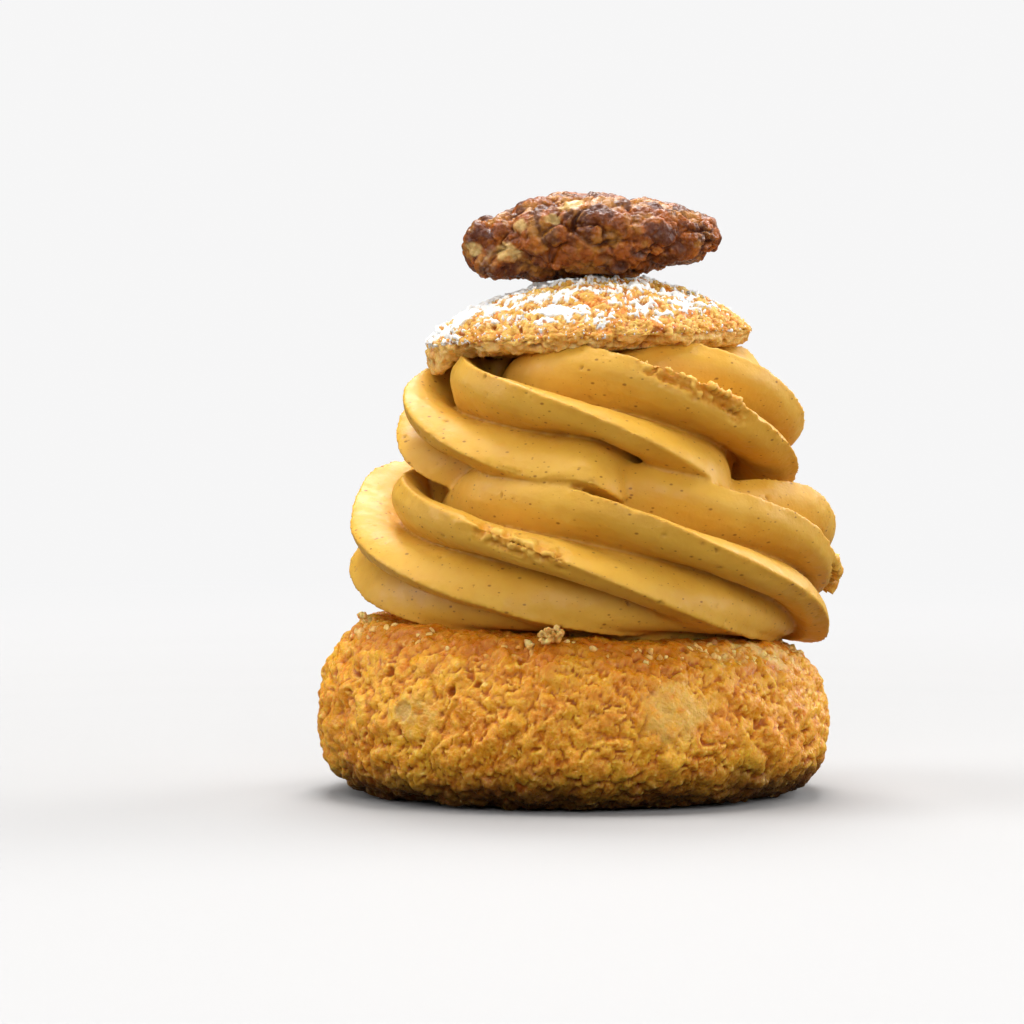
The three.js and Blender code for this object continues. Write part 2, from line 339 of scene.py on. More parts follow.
class Look:
    """A node material, built up one layer at a time."""

    def __init__(self, name, **settings):
        """The settings are the shader's own, with _ for each space."""
        self.material = bpy.data.materials.new(name)
        self.material.use_nodes = True
        self.tree = self.material.node_tree
        self.shader = self.tree.nodes["Principled BSDF"]
        for socket, value in settings.items():
            self.shader.inputs[socket.replace("_", " ")].default_value = value
        self.place = self.tree.nodes.new("ShaderNodeTexCoord").outputs["Object"]

    def link(self, source, target):
        self.tree.links.new(source, target)

    def give(self, socket, value):
        """Sets a number or a colour on a socket, or links another node's output to it."""
        if isinstance(value, (int, float, tuple)):
            socket.default_value = value
        else:
            self.link(value, socket)

    def mask(self, name, low=None, high=None):
        """One of the piece's masks; with low and high, stretched to 0 and 1 there."""
        node = self.tree.nodes.new("ShaderNodeAttribute")
        node.attribute_name = name
        mask = node.outputs["Fac"]
        if low is None:
            return mask
        return self.spread(mask, low, high)

    def noise(self, size_mm, detail=2.0, low=0.35, high=0.65):
        """Noise of a size in millimetres, stretched to run from 0 to 1."""
        node = self.tree.nodes.new("ShaderNodeTexNoise")
        node.inputs["Scale"].default_value = 1 / (size_mm * MM)
        node.inputs["Detail"].default_value = detail
        self.link(self.place, node.inputs["Vector"])
        return self.spread(node.outputs["Fac"], low, high)

    def specks(self, size_mm, radius, share):
        """Small flattened specks, in this share of the cells of that size."""
        node = self.tree.nodes.new("ShaderNodeTexVoronoi")
        node.inputs["Scale"].default_value = 1 / (size_mm * MM)
        flat = self.tree.nodes.new("ShaderNodeVectorMath")
        flat.operation = "MULTIPLY"
        flat.inputs[1].default_value = (1, 1, SPECK_FLATNESS)
        self.link(self.place, flat.inputs[0])
        self.link(flat.outputs["Vector"], node.inputs["Vector"])
        parts = self.tree.nodes.new("ShaderNodeSeparateColor")
        self.link(node.outputs["Color"], parts.inputs["Color"])
        larger = self.math("ADD", self.times(parts.outputs["Green"], 0.8), 0.3)
        away = self.math("DIVIDE", node.outputs["Distance"], larger)
        near = self.spread(away, 0.3 * radius, radius, 1.0, 0.0)
        return self.times(near, self.math("LESS_THAN", parts.outputs["Red"], share))

    def spread(self, source, low, high, to_low=0.0, to_high=1.0):
        node = self.tree.nodes.new("ShaderNodeMapRange")
        node.interpolation_type = "SMOOTHSTEP"
        node.inputs["From Min"].default_value = low
        node.inputs["From Max"].default_value = high
        node.inputs["To Min"].default_value = to_low
        node.inputs["To Max"].default_value = to_high
        self.link(source, node.inputs["Value"])
        return node.outputs["Result"]

    def math(self, operation, first, second):
        node = self.tree.nodes.new("ShaderNodeMath")
        node.operation = operation
        for socket, value in zip(node.inputs, (first, second)):
            self.give(socket, value)
        return node.outputs["Value"]

    def times(self, first, second):
        return self.math("MULTIPLY", first, second)

    def mix(self, amount, first, second):
        """first where amount is 0 and second where it is 1."""
        node = self.tree.nodes.new("ShaderNodeMix")
        node.data_type = "RGBA"
        self.link(amount, node.inputs["Factor"])
        for name, value in (("A", first), ("B", second)):
            socket = [s for s in node.inputs if s.name == name and s.type == "RGBA"][0]
            self.give(socket, value)
        return [s for s in node.outputs if s.type == "RGBA"][0]

    def layers(self, color, *rows):
        """Colours laid over the first: rows of a mask or noise, a strength and a colour."""
        for amount, strength, over in rows:
            if isinstance(amount, str):
                amount = self.mask(amount)
            color = self.mix(self.times(amount, strength), color, srgb(*over))
        return color

    def color(self, source):
        self.link(source, self.shader.inputs["Base Color"])

    def roughness(self, size_mm, smoothest, roughest, low=0.25, high=0.75):
        """Roughness that goes up and down with noise of that size."""
        uneven = self.spread(self.noise(size_mm), low, high, smoothest, roughest)
        self.link(uneven, self.shader.inputs["Roughness"])

    def bump(self, size_mm, depth_mm, detail=3.0):
        """Grain too fine for the mesh, of a size and a depth in millimetres."""
        node = self.tree.nodes.new("ShaderNodeBump")
        node.inputs["Distance"].default_value = depth_mm * MM
        grain = self.noise(size_mm, detail, low=0.2, high=0.8)
        self.link(grain, node.inputs["Height"])
        self.link(node.outputs["Normal"], self.shader.inputs["Normal"])


# ---------------- base

BELLY_HEIGHT, CUT_HEIGHT, CUT_SLOPE = 8.5, 20.1, 0.053
FOOT_RADIUS, CUT_RADIUS, FOOT_ROUND = 19.0, 24.0, 2.4
# The crust's lumps stand this far proud of the smooth body.
CRUST_PROUD = 0.5
BELLY_RADIUS = (BASE_HIGH - BASE_LOW)[:2].mean() / 2 - CRUST_PROUD
# Distance between neighbouring points of the crust's mesh.
CRUST_STEP = 0.285
# How much closer together the columns of the crust's mesh are at the front.
FRONT_SHARE = 0.3
# Size of the crust's grains, and how far its lumps lean sideways.
CRUST_GRAIN, LUMP_LEAN = 1.3, 0.16
# Depth of the pits among the grains, and of the burst bubble with its raised edge.
PIT_DEPTH, BUBBLE_DEPTH, BUBBLE_EDGE = 0.55, 0.3, 0.22
# The grains' height that counts as level, and what the whole crust is raised by.
CRUST_LEVEL, CRUST_RAISED = 1.05, 0.75

# Bald places in the crust: azimuth, height, half width and half height.
BALD_PLACES = [(-37.5, 11.6, 4.2, 2.4), (22, 12.4, 5.2, 3.6)]
# A burst bubble at the edge of the left one: azimuth, height and radius.
BUBBLE = (-40.5, 11.9, 1.35)


def cut_height(x):
    """The cut slopes down a little to the right."""
    return CUT_HEIGHT - CUT_SLOPE * x


def wobble(azimuth, phase):
    """Gentle unevenness around an azimuth, about -1 to 1."""
    a = np.radians(azimuth)
    return (
        0.5 * np.sin(2 * a + phase)
        + 0.3 * np.sin(3 * a + 2.3 * phase + 1)
        + 0.2 * np.sin(7 * a + 3.7 * phase + 2)
    )


def even_steps(path, step):
    """Points along a path of (radius, height) rows, about a step apart."""
    length = np.concatenate([[0], np.cumsum(np.hypot(*np.diff(path, axis=0).T))])
    count = int(length[-1] / step) + 1
    at = np.linspace(0, length[-1], count)
    return np.stack([np.interp(at, length, column) for column in path.T], 1)


def front_heavy(count):
    """Azimuths around a full turn, closer together at the front."""
    even = np.arange(count) * 2 * math.pi / count
    return np.degrees(even - FRONT_SHARE * np.sin(even))


def base_outline():
    """The body's outline, from near the middle of its foot to that of its cut."""
    quarter = np.linspace(0, math.pi / 2, 60)
    down = np.cos(quarter)
    low_share = (1 - down ** FOOT_ROUND) ** (1 / FOOT_ROUND)
    foot = np.stack([
        FOOT_RADIUS + (BELLY_RADIUS - FOOT_RADIUS) * low_share,
        BELLY_HEIGHT * (1 - down),
    ], 1)
    up = np.sin(quarter)[1:]
    shoulder = np.stack([
        CUT_RADIUS + (BELLY_RADIUS - CUT_RADIUS) * np.sqrt(1 - up ** 2),
        BELLY_HEIGHT + (CUT_HEIGHT - BELLY_HEIGHT) * up,
    ], 1)
    cut = np.array([[18.0, CUT_HEIGHT]])
    side = even_steps(np.vstack([foot, shoulder, cut]), CRUST_STEP)
    under = np.array([[6.0, 0.0], [12.0, 0.0], [16.0, 0.0]])
    inside = np.array([[12.0, CUT_HEIGHT], [6.0, CUT_HEIGHT]])
    return np.vstack([under, side, inside])


def crust_relief(points, seed, size):
    """The baked sugar crust: grains on broader lumps, and the pits among them."""
    lumps = billow(warped(points, 0.9 * size, 2.2 * size, seed), 2.4 * size, seed + 1)
    bent = warped(points, 0.35 * size, 0.7 * size, seed + 5)
    grains, _, _ = cells(bent, size, seed + 2, 0.5, 0.9)
    small, _, _ = cells(bent, 0.6 * size, seed + 3, 0.5, 0.9)
    around_pit = warped(points * (0.8, 0.8, 1.3), 0.6 * size, 1.1 * size, seed + 9)
    _, _, near = cells(around_pit, 2.0 * size, seed + 4)
    width = 0.17 + 0.16 * noise(points, 3.0 * size, seed + 6)
    pit = (1 - smooth(width * 0.7, width * 1.25, near)) * (width > 0.06)
    height = 0.42 * size * lumps + 0.5 * grains + 0.36 * small
    return height, pit


def base_patch(points):
    """Two bald places at the front, where the sugar crust is missing."""
    patch = np.zeros(len(points))
    for azimuth, height, wide, high in BALD_PLACES:
        middle = around(0, BELLY_RADIUS, azimuth, height)
        turn = math.radians(azimuth)
        across = np.array([math.cos(turn), math.sin(turn), 0])
        outward = np.array([math.sin(turn), -math.cos(turn), 0])
        away = points - middle
        reach = np.hypot(away @ across / wide, away[:, 2] / high)
        reach += 0.35 * fbm(points, 2.4, 61) + 0.15 * fbm(points, 0.8, 62)
        near = np.abs(away @ outward) < 8
        patch = np.maximum(patch, (1 - smooth(0.55, 1.15, reach)) * near)
    return patch


def base_crust():
    outline = base_outline()
    azimuth = front_heavy(int(2 * math.pi * BELLY_RADIUS / CRUST_STEP))
    radius, height = outline[:, :1], outline[:, 1:]
    uneven = 1 + 0.012 * wobble(azimuth[None, :], 1 + height / 40)
    rings = around(0, radius * uneven, azimuth[None, :], height)
    above = np.maximum(0, height - BELLY_HEIGHT) / (CUT_HEIGHT - BELLY_HEIGHT)
    rings[..., 2] -= CUT_SLOPE * rings[..., 0] * above
    points, faces = skin(rings)
    piece = make_object("choux_base_crust", points, faces)
    normals = get_normals(piece)

    lumps, pit = crust_relief(points, 11, CRUST_GRAIN)
    patch = base_patch(points)
    top = smooth(0.85, 0.97, normals[:, 2])
    foot = 1 - smooth(0.0, 1.2, points[:, 2])
    height = lumps - CRUST_LEVEL - PIT_DEPTH * pit
    bald = 0.2 * fbm(points, 1.6, 71) - 0.15 - 0.1 * pit
    height = height * (1 - 0.7 * patch) + bald * 0.7 * patch
    middle = around(0, BELLY_RADIUS, BUBBLE[0], BUBBLE[1])
    ring = np.linalg.norm(points - middle, axis=1) / BUBBLE[2]
    bubble = 1 - smooth(0.8, 1.0, ring)
    height += BUBBLE_EDGE * np.exp(-((ring - 1) / 0.14) ** 2) - BUBBLE_DEPTH * bubble
    height = height * (1 - 0.4 * top) + 0.35 * fbm(points, 9.0, 81, 2)
    moved = points + normals * ((height + CRUST_RAISED) * (1 - foot))[:, None]
    # Lumps lean sideways a little, so that some overhang their neighbours.
    moved += LUMP_LEAN * drift(points, 1.8, 91) * ((1 - foot) * (1 - patch))[:, None]
    moved[:, 2] = np.maximum(moved[:, 2], 0.0)
    set_points(piece, moved)

    azimuth_of = np.degrees(np.arctan2(points[:, 0], -points[:, 1]))
    below = points[:, 2] - cut_height(points[:, 0])
    rim = smooth(-4.2, -0.8, below + 1.2 * fbm(points, 4.0, 100))
    # Pale crumb shows along the cut at the front right.
    pale = rim * smooth(0.0, 0.4, fbm(points, 1.4, 111))
    pale *= smooth(25, 48, azimuth_of) * smooth(95, 75, azimuth_of)
    # The hollow, fine and pit masks carry painted shade into the colour, and fine also painted
    # highlight on the raised grains.
    set_masks(
        piece, patch=patch, bubble=bubble, pit=pit * (1 - patch), pale=np.clip(pale, 0, 1),
        hollow=hollows(piece, height, 10, 0.4), fine=hollows(piece, height, 2, 0.16),
        rim=rim * (0.55 + 0.45 * fbm(points, 5.0, 101)),
        # Darker towards the foot: partly the crust's own browning, partly painted shade.
        sole=1 - smooth(1.4, 7.0, points[:, 2] + fbm(points, 5.0, 105)),
    )
    dress(piece, "choux_base", crust_look())


def crust_look():
    """Baked craquelin: golden lumps, deeper orange between them; the deeper orange in the
    hollows and pits is painted shade, and the paler raised grains and glints are painted
    highlight.
    """
    look = Look(
        "crust", Specular_IOR_Level=0.28, Subsurface_Weight=0.5,
        Subsurface_Scale=0.0012, Subsurface_Radius=(1.0, 0.42, 0.08),
    )
    # Painted highlight: the raised grains are coloured paler.
    high = look.mask("fine", 0.5, 0.2)
    thin = look.times(look.mask("patch"), look.noise(1.6, 3.0, low=0.3, high=0.6))
    # Painted highlight: pale glints on the raised grains.
    painted_glint = look.times(look.noise(1.0, 3.0, low=0.6, high=0.72), high)
    color = look.layers(
        look.mix(look.noise(8.0, 3.0), srgb(219, 144, 28), srgb(230, 170, 46)),
        (look.noise(2.2, 3.0, low=0.42, high=0.68), 0.65, (206, 114, 14)),
        (high, 0.5, (246, 200, 82)),
        # Painted shade: deeper orange in the hollows and fine creases between the grains.
        (look.mask("hollow", 0.5, 0.85), 0.75, (190, 100, 10)),
        (look.mask("fine", 0.55, 0.9), 0.75, (174, 88, 9)),
        (thin, 0.85, (220, 174, 82)),
        ("bubble", 0.6, (206, 162, 84)),
        ("rim", 0.75, (180, 92, 18)),
        # Darker towards the foot: partly the crust's own browning, partly painted shade.
        ("sole", 0.92, (62, 28, 6)),
        # Painted shade in the pits.
        ("pit", 0.65, (164, 76, 10)),
        (painted_glint, 0.6, (250, 218, 136)),
        ("pale", 1.0, (230, 192, 118)),
    )
    look.color(color)
    look.roughness(0.9, 0.18, 0.5)
    look.bump(0.4, 0.1)
    return look.material


# ---------------- cream

RIDGES = 6
# Depth of a valley between two ridges. A ridge's underside is fuller than its
# upper side, and a sharp edge runs along its crest.
VALLEY, UNDERSIDE, UPPER_SIDE, CREST_EDGE = 0.26, 3.4, 1.5, 0.13
ROPE_FROM, ROPE_TO = -230, 640

# The rope's course: rows of an azimuth and the value there.
HEIGHT = [
    (-230, 26), (-180, 29), (-110, 30.5), (10, 30.8), (90, 28.8), (180, 35.3),
    (250, 43.2), (365, 45.5), (450, 45.2), (540, 49.3), (640, 53),
]
TURN_RADIUS = [
    (-230, 17), (-180, 19.5), (-110, 20.7), (90, 22.5), (180, 18.5),
    (250, 16.5), (370, 16.5), (450, 15.6), (540, 13.5), (640, 8),
]
GIRTH = [
    (-230, 2.5), (-190, 8.5), (-110, 9.9), (90, 10), (180, 10.2), (270, 10.4),
    (370, 11), (450, 10.9), (540, 9.8), (640, 6),
]
TWIST = [
    (-240, -235), (-160, -120), (-116, -60), (-62, 0), (-9, 60), (35, 120),
    (99, 180), (232, 360), (311, 480), (368, 540), (414, 600), (640, 836),
]
# Where one ridge swells or leans: ridge, azimuth, spread, growth, lean downwards.
SWELLS = [
    (2, 105, 35, -0.07, 40), (3, 92, 22, -0.2, 28), (4, 88, 24, 0.18, 10),
    (5, 93, 25, 0.02, -22), (0, -112, 16, 0.3, 0), (1, -92, 35, 0.0, -10),
    (5, 268, 35, -0.14, -17), (5, 322, 22, -0.32, 16), (4, 359, 14, 0.2, -21),
    (4, 382, 11, -0.6, 20), (3, 398, 9, 0.05, 0), (3, 426, 15, -0.5, 20),
    (4, -42, 16, 0.09, 0), (3, 9, 14, 0.14, 0), (2, 78, 15, 0.14, 0),
    (1, 450, 25, -0.04, 16),
]
# The lower turn's valleys fill in where its underside is pressed on the cut.
PRESS_WIDTH, PRESS_SHARE, PRESS_END = 38, 0.93, 170
# The rope winds around an upright axis that stands a little to the right.
AXIS_X = [(-230, 2.1), (90, 2.1), (270, 2.9), (640, 2.9)]
# The filling inside the turns: rows of a height and the radius there.
FILLING = [(15, 19), (30, 21), (39, 17), (52, 12), (62, 6)]
# The rope's mesh: degrees between rings, and points for each ridge.
RING_STEP, RIDGE_STEPS = 1.5, 16
FILLING_X, FILLING_COLUMNS = 2.5, 96
# Size of the voxels that join it all, and how many triangles are kept of it.
CREAM_VOXEL, CREAM_FACES = 0.28, 190000
# How far the cream is pressed into the cut's crumb.
PRESSED_IN = 0.15

# Where the cream tore: ridge, first and last azimuth, and how far down from the crest.
TORN = [(2, 370, 404, 0.5), (5, -29, -7, 0.38), (3, 74, 100, 0.45)]
# Ridge, azimuth, spread and height of each flake that stands up.
LIPS = [(2, 394, 6, 1.0), (3, 86, 9, 1.5)]


def ridge_share(turn):
    """Radius of the rope as a share of its girth; crests are at whole turns."""
    place = np.abs((2 * turn) % 2 - 1)
    full = 1 - (1 - place) ** np.where(turn % 1 < 0.5, UNDERSIDE, UPPER_SIDE)
    return VALLEY + (1 - VALLEY) * (full + CREST_EDGE * (place ** 5 - full))


def ridge_swell(azimuth, turn):
    """How much longer than usual a ridge is, and how far it leans, in degrees."""
    growth, lean = 0, 0
    for ridge, middle, spread, more, tilt in SWELLS:
        along = np.exp(-((azimuth - middle) / spread) ** 2)
        away = np.abs((turn - ridge + RIDGES / 2) % RIDGES - RIDGES / 2)
        strength = along * smooth(1, 0, away)
        growth = growth + more * strength
        lean = lean + tilt * strength
    return growth, lean


def rope_rings(azimuth, steps):
    """Rings of the rope, with how near each point is to its ridge's crest, 0 to 1."""
    t = azimuth[:, None]
    turn = np.arange(RIDGES * steps)[None, :] / steps
    crest = np.abs((2 * turn) % 2 - 1)
    growth, lean = ridge_swell(t, turn)
    degrees = -(turn * 360 / RIDGES + curve(t, TWIST) + lean)
    from_below = (degrees + 90 + 180) % 360 - 180
    pressed = np.exp(-(from_below / PRESS_WIDTH) ** 2) * (t < PRESS_END)
    share = ridge_share(turn)
    share = share + (np.maximum(share, PRESS_SHARE) - share) * pressed
    angle = np.radians(degrees)
    reach = curve(t, GIRTH) * share * (1 + growth)
    radius = curve(t, TURN_RADIUS) + reach * np.cos(angle)
    z = curve(t, HEIGHT) + reach * np.sin(angle)
    rings = around(curve(t, AXIS_X), radius, t, z)
    ridge = np.round(turn) % RIDGES
    return rings, np.broadcast_to(crest, angle.shape), np.broadcast_to(ridge, angle.shape)


def cream_body():
    """The rope and its filling as one skin.

    Also returns the rope's own points, with their azimuth, how near each is to
    a crest and the number of its ridge.
    """
    azimuth = np.arange(ROPE_FROM, ROPE_TO + 1, RING_STEP)
    rings, crest, ridge = rope_rings(azimuth, RIDGE_STEPS)
    a = even_turn(FILLING_COLUMNS)
    filling = np.stack([around(FILLING_X, r, a, z) for z, r in FILLING])
    piece = make_object("cream_piped", *join_parts([skin(rings), skin(filling)]))
    with_modifier(piece, "REMESH", mode="VOXEL", voxel_size=CREAM_VOXEL * MM)
    azimuth = np.repeat(azimuth, rings.shape[1])
    return piece, rings.reshape(-1, 3), azimuth, crest.ravel(), ridge.ravel()


def nearest(points, others):
    """For each point, the index of the nearest of the others and how far."""
    tree = KDTree(len(others))
    for i, point in enumerate(others.tolist()):
        tree.insert(point, i)
    tree.balance()
    found = [tree.find(point)[1:] for point in points.tolist()]
    index, distance = np.array(found, float).T
    return index.astype(int), distance


def piped_cream():
    piece, rope, azimuth, crest, ridge = cream_body()
    with_modifier(piece, "SMOOTH", factor=0.5, iterations=3)
    points = get_points(piece)
    index, inside = nearest(points, rope)
    azimuth, across, ridge = azimuth[index], crest[index], ridge[index]
    # The creases between the ridges come out rough, so they are evened out.
    even = evened(piece, points, 4)
    groove = smooth(0.005, 0.06, ((even - points) * get_normals(piece)).sum(1))
    groove = spread_out(piece, groove, 6)
    crease = np.minimum(1, 2.0 * groove) * smooth(0.7, 0.4, across)
    points += (evened(piece, points, 10) - points) * crease[:, None]
    set_points(piece, points)
    normals = get_normals(piece)

    # Broad unevenness, then fine ripples.
    push = 0.2 * fbm(points, 7.0, 201, 3) + 0.04 * fbm(points, 1.3, 211, 2)
    # Crests are torn into small teeth along some stretches.
    stretch = smooth(0.2, 0.6, fbm(points, 10.0, 221, 2))
    teeth = smooth(-0.1, 0.6, noise(points, 1.3, 231))
    push -= 0.25 * smooth(0.84, 1.0, across) * teeth * stretch
    push -= 0.06 * smooth(0.72, 1.0, across) * smooth(0.0, 0.5, noise(points, 1.1, 233))

    torn = torn_places(points, azimuth, ridge, across)
    # Shreds run along the rope: the noise is stretched that way.
    along = np.stack([azimuth * 0.13, across * 5.0, 0 * azimuth], 1) + 0.4 * points / 3
    shreds = billow(along, 0.55, 241) + 0.5 * billow(along, 0.28, 242)
    push -= torn * (0.8 * shreds - 0.35)
    push += lips(points, azimuth, ridge, across)

    # Air pockets that opened at the surface.
    _, _, near = cells(warped(points, 0.25, 0.8, 261), 2.3, 262)
    wide = 0.11 + 0.04 * noise(points, 3.91, 299)
    pocket = 1 - smooth(wide * 0.4, wide * 1.3, near)
    pocket *= smooth(-0.25, 0.3, fbm(points, 6.0, 263, 2))
    push -= 0.3 * pocket
    moved = points + normals * push[:, None]

    moved[:, 2] = np.maximum(moved[:, 2], cut_height(moved[:, 0]) - PRESSED_IN)
    set_points(piece, moved)
    set_masks(
        # Painted shade: darker in the grooves between the ridges and in the air pockets.
        piece, groove=smooth(0.1, 0.6, spread_out(piece, groove, 6)), pocket=pocket,
        # Painted shade in the gaps between torn shreds, and painted highlight on the raised
        # flakes.
        torn=torn * smooth(0.2, 0.8, shreds), flakes=torn * smooth(0.6, 0.1, shreds),
        # Painted shade: the filling hidden inside the turns is coloured near black.
        inside=smooth(1.2, 2.0, inside),
    )
    triangles = sum(len(face.vertices) - 2 for face in piece.data.polygons)
    with_modifier(piece, "DECIMATE", ratio=CREAM_FACES / triangles)
    dress(piece, "cream_swirl", cream_look())


def lips(points, azimuth, ridge, across):
    """Flakes of cream that stand up from a crest where it tore."""
    height = np.zeros(len(points))
    for number, middle, spread, high in LIPS:
        along = np.exp(-((azimuth - middle) / spread) ** 4)
        edge = smooth(0.8, 0.93, across + 0.05 * noise(points, 1.2, 281))
        ragged = 0.75 + 0.5 * noise(points, 1.0, 282)
        height = np.maximum(height, high * along * edge * ragged * (ridge == number))
    return height


def torn_places(points, azimuth, ridge, crest):
    """Rough places where the cream tore as the nozzle passed, from 0 to 1."""
    torn = np.zeros(len(points))
    ragged = 0.2 * fbm(points, 2.5, 271, 2)
    for number, start, end, reach in TORN:
        middle, half = (start + end) / 2, (end - start) / 2
        along = 1 - smooth(0.7, 1.05, np.abs(azimuth - middle) / half + ragged)
        across = smooth(1 - reach, 1 - 0.5 * reach, crest + ragged * reach)
        torn = np.maximum(torn, along * across * (ridge == number % RIDGES))
    return torn


def cream_look():
    look = Look(
        "cream", Specular_IOR_Level=0.3, Subsurface_Weight=0.2,
        Subsurface_Scale=0.0008, Subsurface_Radius=(1.0, 0.5, 0.15),
    )
    color = look.layers(
        look.mix(look.noise(9.0, 3.0), srgb(212, 160, 54), srgb(216, 166, 62)),
        (look.noise(1.6, 3.0, low=0.4, high=0.7), 0.18, (200, 138, 42)),
        (look.specks(1.4, 0.25, 0.75), 0.75, (124, 68, 14)),
        (look.specks(0.8, 0.25, 0.55), 0.6, (148, 86, 20)),
        # Painted shade in the air pockets.
        ("pocket", 0.65, (136, 78, 18)),
        # Painted shade in the gaps between the torn shreds.
        ("torn", 0.6, (204, 128, 28)),
        # Painted highlight on the raised flakes of torn cream.
        ("flakes", 0.5, (238, 196, 96)),
        # Painted shade along the grooves between the ridges.
        ("groove", 0.5, (156, 92, 20)),
        # Painted shade: near black on the hidden filling, seen in the gap under the lid.
        ("inside", 0.9, (60, 30, 6)),
    )
    look.color(color)
    look.roughness(2.0, 0.42, 0.56, 0, 1)
    look.bump(0.5, 0.02)
    return look.material


# ---------------- lid

LID_X, LID_RADIUS = 1.6, 20.2
UNDER_HEIGHT, UNDER_SLOPE = 55.2, 0.035
RIM_HEIGHT, RIM_SLOPE = 57.0, 0.045
DOME, DOME_ROUND = 7.2, 0.8
FLAP_AZIMUTH, FLAP_WIDTH, FLAP_DROP = -80, 24, 3.4
NOTCH_AZIMUTH, NOTCH_WIDTH, NOTCH_RISE = 24, 9, 1.5
LID_COLUMNS, LID_TOP_ROWS, LID_SIDE_ROWS, LID_UNDER_ROWS = 540, 96, 34, 14
# The torn side begins at this share of the lid's radius.
SIDE_FROM = 0.82
# Loose grains of sugar, and how much cover makes a closed coat.
SUGAR_GRAINS, COAT_FROM = 1100, 0.4


def flap_drop(azimuth):
    """How far the torn rim hangs down at an azimuth."""
    away = (azimuth - FLAP_AZIMUTH + 180) % 360 - 180
    return FLAP_DROP * np.cos(np.radians(np.clip(away / FLAP_WIDTH, -1, 1) * 90)) ** 2


def lid_rings():
    """Rings from the middle of the underside, over the rim, to the top.

    Also returns where each point is: 0 under the lid, 1 on top.
    """
    azimuth = even_turn(LID_COLUMNS)
    a = np.radians(azimuth)
    circle = np.stack([np.sin(a) * 8, -np.cos(a) * 8, 0 * a], 1)
    edge = LID_RADIUS * (1 + 0.02 * wobble(azimuth, 4)) + 0.35 * fbm(circle, 1.6, 301)
    notch = NOTCH_RISE * np.exp(-((azimuth - NOTCH_AZIMUTH) / NOTCH_WIDTH) ** 2)
    hang = flap_drop(azimuth) + 0.55 * fbm(circle, 2.2, 311) + 0.25 - notch
    x = edge * np.sin(a)
    under = UNDER_HEIGHT + UNDER_SLOPE * x
    rim = RIM_HEIGHT + RIM_SLOPE * x
    rings, top = [], []
    for share in np.linspace(0.3, SIDE_FROM, LID_UNDER_ROWS):
        rings.append(around(LID_X, edge * share, azimuth, under))
        top.append(0)
    for turn in np.linspace(0, 1, LID_SIDE_ROWS):
        # Half round from the underside, past the lowest lip, to the rim.
        angle = math.pi * turn
        share = min(1.0, SIDE_FROM + (1 - SIDE_FROM) * math.sin(angle / 2) ** 0.8)
        lip = under - hang * math.sin(angle) ** 0.8
        z = lip * (1 - turn ** 1.4) + rim * turn ** 1.4
        rings.append(around(LID_X, edge * share, azimuth, z))
        top.append(smooth(0.55, 0.95, turn))
    for i in range(1, LID_TOP_ROWS):
        share = math.cos(math.radians(90 * i / LID_TOP_ROWS))
        tilt = share ** 0.5
        dome = DOME * (1 - share ** 2) ** DOME_ROUND
        z = rim * tilt + RIM_HEIGHT * (1 - tilt) + dome
        rings.append(around(LID_X, edge * share, azimuth, z))
        top.append(1)
    top = np.repeat(np.array(top, float), LID_COLUMNS)
    return np.array(rings), top


def lid_relief(points, top):
    """Height over the smooth lid: baked lumps on top, torn crumb beneath."""
    lumps, pit = crust_relief(points, 321, 1.0)
    fine, _, _ = cells(warped(points, 0.15, 0.5, 327), 0.55, 328, 0.5, 0.9)
    crust = 1.1 * (lumps - 0.7) + 0.35 * (fine - 0.3) - 0.5 * pit
    _, _, near = cells(warped(points, 0.5, 1.2, 331), 1.7, 332)
    holes = 1 - smooth(0.12, 0.42, near)
    crumb = 0.45 * fbm(points, 1.3, 341, 3) - 0.75 * holes
    height = crust * top + crumb * (1 - top)
    return height, pit * top, holes * (1 - top)


def sugar_cover(points, top, lift):
    """Where icing sugar lies, from 0 to 1: in patches, mostly on raised grains."""
    patches = 0.45 * fbm(points, 2.6, 351, 3) + 0.4 * fbm(points, 0.9, 361, 2)
    patches += 0.35 * noise(points, 0.36, 365) + 0.9 * lift
    across = (points[:, 0] - LID_X) / LID_RADIUS
    away = np.hypot(points[:, 0] - LID_X, points[:, 1]) / LID_RADIUS
    bare = smooth(0.86, 0.98, away + 0.06 * fbm(points, 2.0, 366)) * smooth(-0.9, -0.6, across)
    amount = patches + 0.12 - 0.12 * across - 0.55 * bare
    return smooth(-0.06, 0.16, amount) * smooth(0.7, 1.0, top)


def lid_and_sugar():
    rings, top = lid_rings()
    points, faces = skin(rings)
    top = np.concatenate([top, [0, 1]])
    piece = make_object("lid_crust", points, faces)
    normals = get_normals(piece)
    height, pit, holes = lid_relief(points, top)
    moved = points + normals * height[:, None]
    moved += 0.12 * drift(points, 1.2, 371)
    set_points(piece, moved)
    lift = height - spread_out(piece, height, 14)
    cover = sugar_cover(points, top, lift)
    # The hollow, fine, pit and holes masks carry painted shade into the colour, and fine also
    # painted highlight on the raised grains.
    set_masks(
        piece, hollow=hollows(piece, height, 14, 0.35), fine=hollows(piece, height, 3, 0.15),
        pit=pit, holes=holes, top=top, dust=cover,
    )
    dress(piece, "choux_lid", lid_look())
    icing_sugar(moved, normals, top, cover, faces)


def closed_coat(outer, inner, quads):
    """Closed islands of a coat over some quads of a mesh."""
    used, flat = np.unique(quads, return_inverse=True)
    above = flat.reshape(-1, 4)
    below = above[:, ::-1] + len(used)
    a, b = above.ravel(), np.roll(above, -1, 1).ravel()
    key, back = a * len(used) + b, b * len(used) + a
    edge = ~np.isin(key, back)
    wall = np.stack([b[edge], a[edge], a[edge] + len(used), b[edge] + len(used)], 1)
    return np.vstack([outer[used], inner[used]]), np.vstack([above, below, wall]).tolist()


